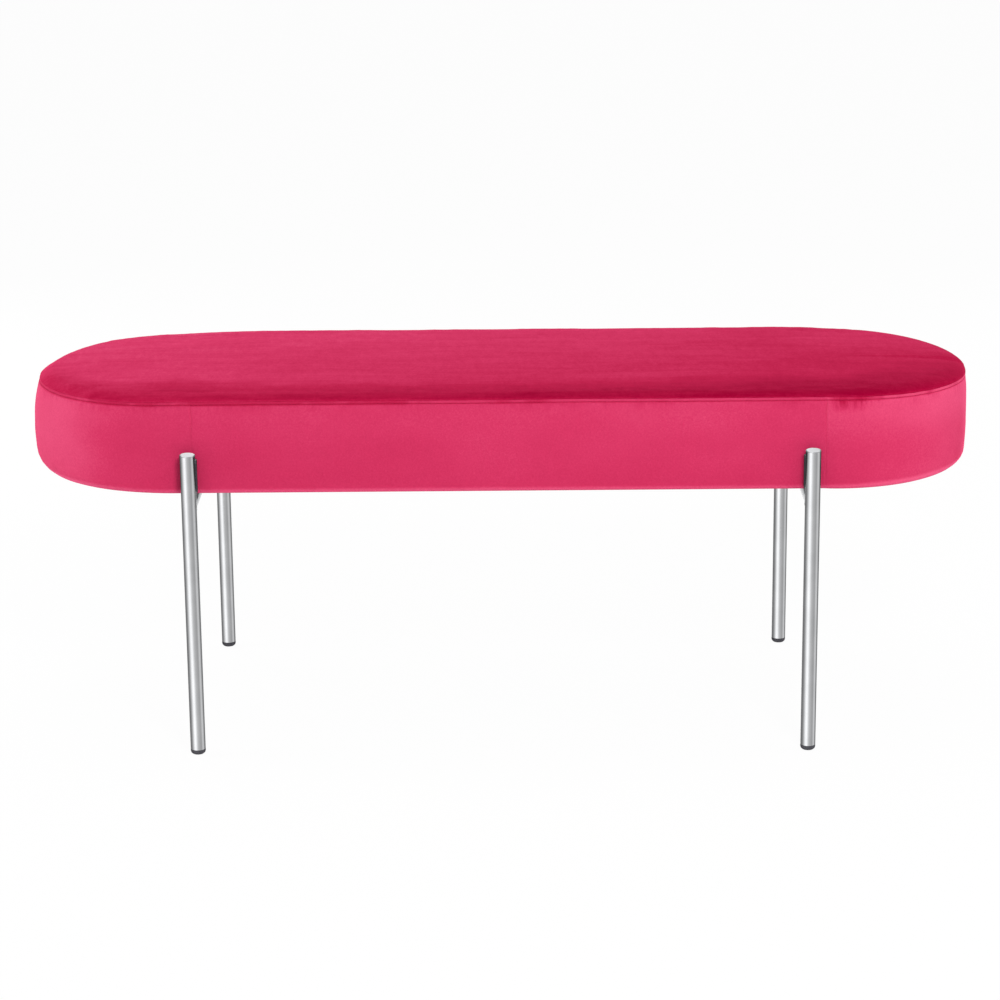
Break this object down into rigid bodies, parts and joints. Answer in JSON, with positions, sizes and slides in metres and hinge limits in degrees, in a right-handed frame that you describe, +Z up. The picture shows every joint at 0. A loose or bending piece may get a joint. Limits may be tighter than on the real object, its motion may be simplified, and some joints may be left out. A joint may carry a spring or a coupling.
{
  "type": "upholstered bench",
  "caption": "Stadium-shaped velvet bench seat carried by two chromed tube frames whose round legs stand outside it and rise part way up its sides.",
  "frame": {"origin": "on the floor, under the middle of the seat", "axes": "+X along the seat's length towards its right end, +Y towards the back, +Z up; the front is -Y"},
  "size_m": [1.2, 0.449, 0.459],
  "materials": {
    "velvet": "crushed velvet, raspberry pink",
    "chrome": "satin to bright chrome plate",
    "dark_plastic": "matt dark grey, fine grain",
    "black_steel": "black powder coat",
    "zinc": "zinc plated",
    "plywood": "bare plywood",
    "black_panel": "black faced fibreboard",
    "foam": "polyurethane foam, cream",
    "fleece": "white polyester fleece"
  },
  "bodies": {
    "root": {"cover_top_panel": "velvet", "cover_front_band": "velvet", "cover_back_band": "velvet", "cover_right_band": "velvet", "cover_left_band": "velvet", "fleece_wadding": "fleece", "plywood_base_board": "plywood", "underside_panel": "black_panel", "foam_core": "foam", "foam_topper": "foam", "front_left_leg": "chrome", "front_left_leg_cap": "chrome", "front_left_glide": "dark_plastic", "front_left_leg_pad": "dark_plastic", "front_left_mounting_plate": "black_steel", "back_left_leg": "chrome", "back_left_leg_cap": "chrome", "back_left_glide": "dark_plastic", "back_left_leg_pad": "dark_plastic", "back_left_mounting_plate": "black_steel", "front_right_leg": "chrome", "front_right_leg_cap": "chrome", "front_right_glide": "dark_plastic", "front_right_leg_pad": "dark_plastic", "front_right_mounting_plate": "black_steel", "back_right_leg": "chrome", "back_right_leg_cap": "chrome", "back_right_glide": "dark_plastic", "back_right_leg_pad": "dark_plastic", "back_right_mounting_plate": "black_steel", "left_cross_rail": "chrome", "right_cross_rail": "chrome", "front_left_inner_bolt": "zinc", "front_left_inner_washer": "zinc", "front_left_inner_tee_nut": "zinc", "front_left_outer_bolt": "zinc", "front_left_outer_washer": "zinc", "front_left_outer_tee_nut": "zinc", "back_left_inner_bolt": "zinc", "back_left_inner_washer": "zinc", "back_left_inner_tee_nut": "zinc", "back_left_outer_bolt": "zinc", "back_left_outer_washer": "zinc", "back_left_outer_tee_nut": "zinc", "front_right_inner_bolt": "zinc", "front_right_inner_washer": "zinc", "front_right_inner_tee_nut": "zinc", "front_right_outer_bolt": "zinc", "front_right_outer_washer": "zinc", "front_right_outer_tee_nut": "zinc", "back_right_inner_bolt": "zinc", "back_right_inner_washer": "zinc", "back_right_inner_tee_nut": "zinc", "back_right_outer_bolt": "zinc", "back_right_outer_washer": "zinc", "back_right_outer_tee_nut": "zinc"}
  },
  "joints": []
}
